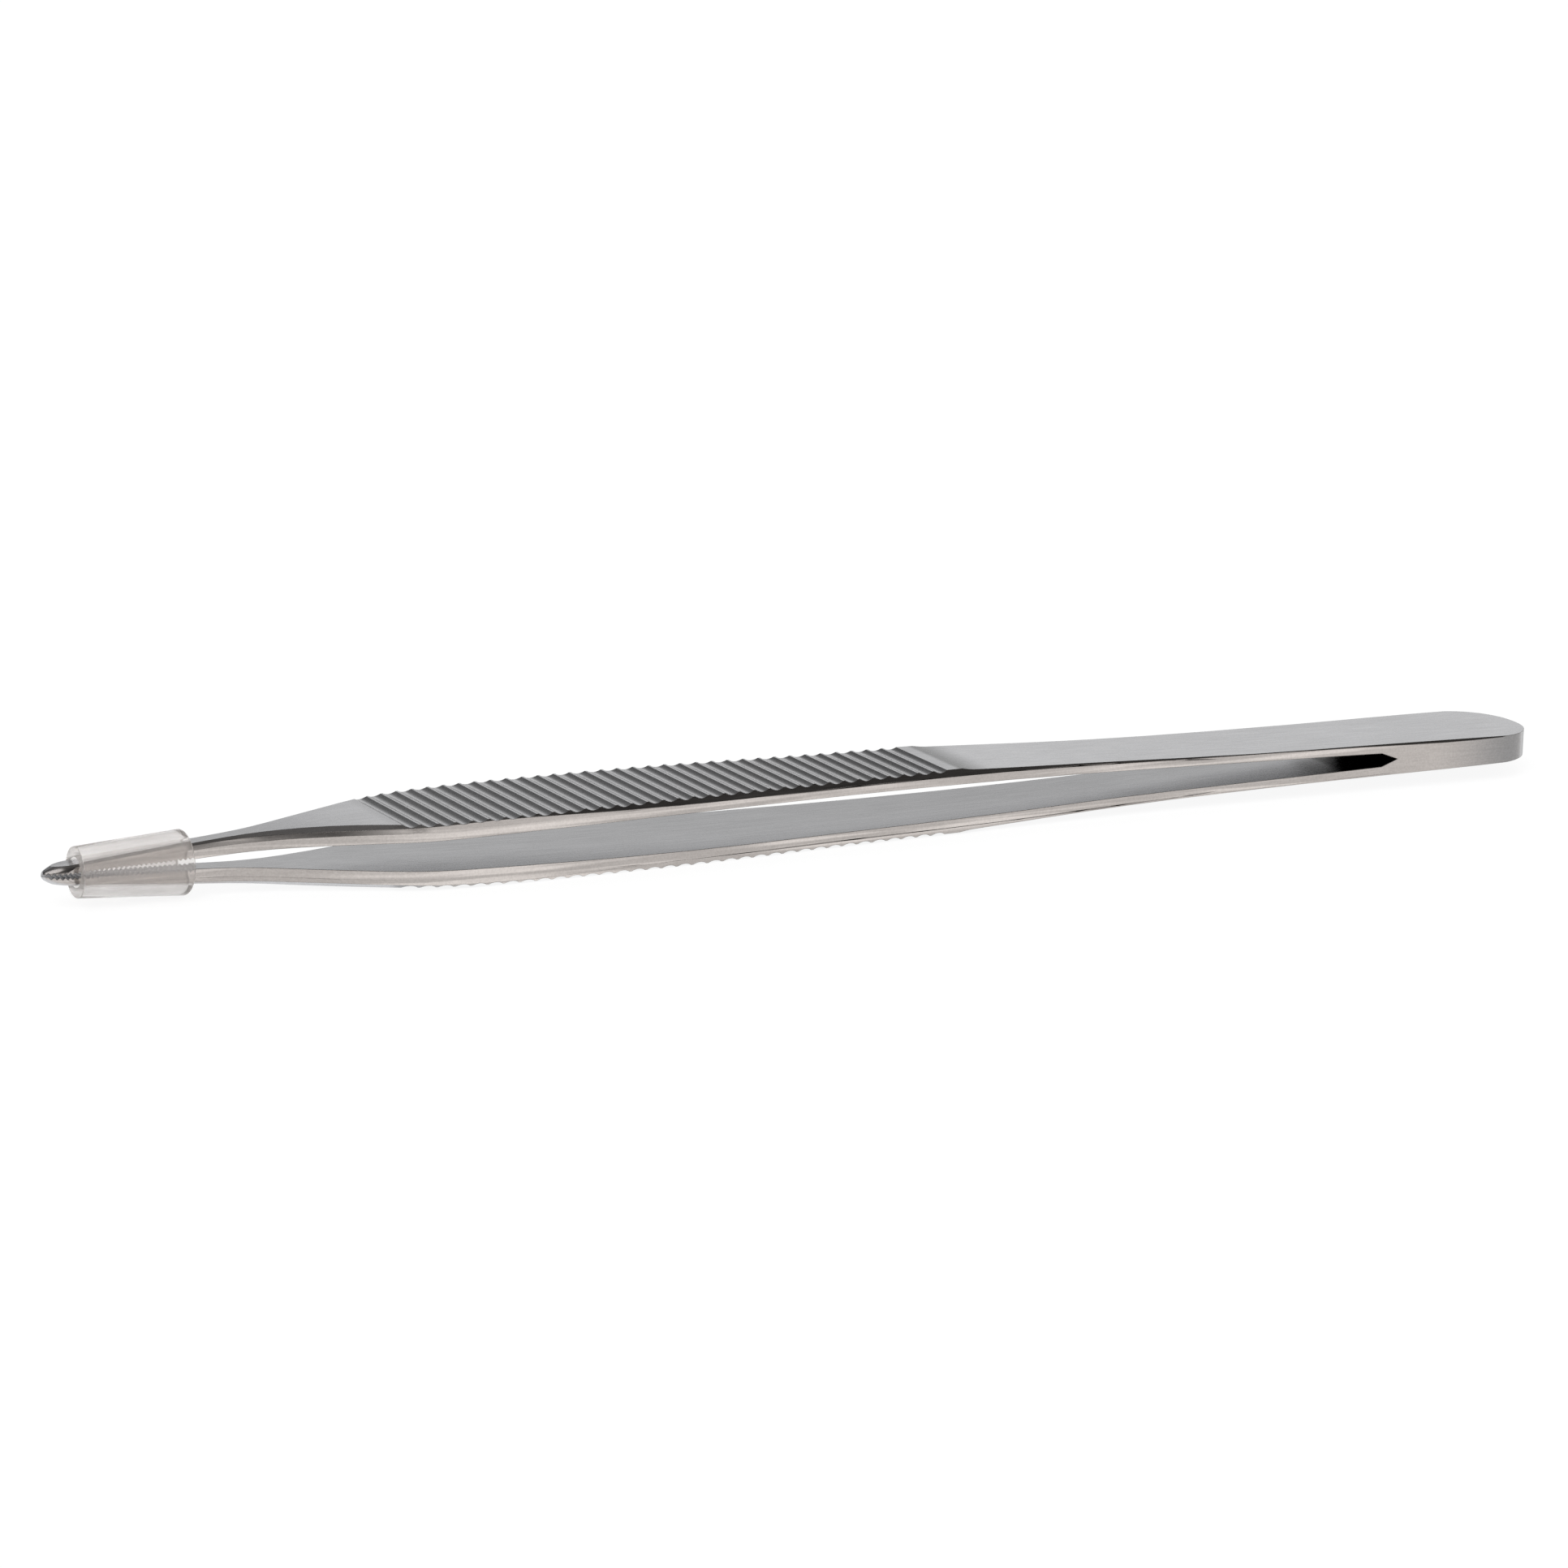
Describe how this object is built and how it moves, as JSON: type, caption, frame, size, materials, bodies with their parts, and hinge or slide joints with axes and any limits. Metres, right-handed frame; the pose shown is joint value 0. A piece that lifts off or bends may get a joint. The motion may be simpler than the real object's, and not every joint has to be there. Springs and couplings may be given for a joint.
{
  "type": "thumb forceps",
  "caption": "Slim steel thumb forceps: long sprung arms joined at a rounded heel, cross-grooved grips, narrow toothed tips and a push-on tip guard",
  "frame": {"origin": "middle of the forceps' length, width and height, on the plane between the two arms", "axes": "+X from the tips to the heel, +Y across the width, +Z from the lower arm to the upper arm"},
  "size_m": [0.145, 0.0126, 0.006],
  "materials": {
    "steel": "satin stainless steel, polished on the narrow sides",
    "guard_plastic": "soft translucent milky plastic"
  },
  "bodies": {
    "root": {"upper_arm": "steel", "lower_arm": "steel", "tip_guard": "guard_plastic"}
  },
  "joints": []
}
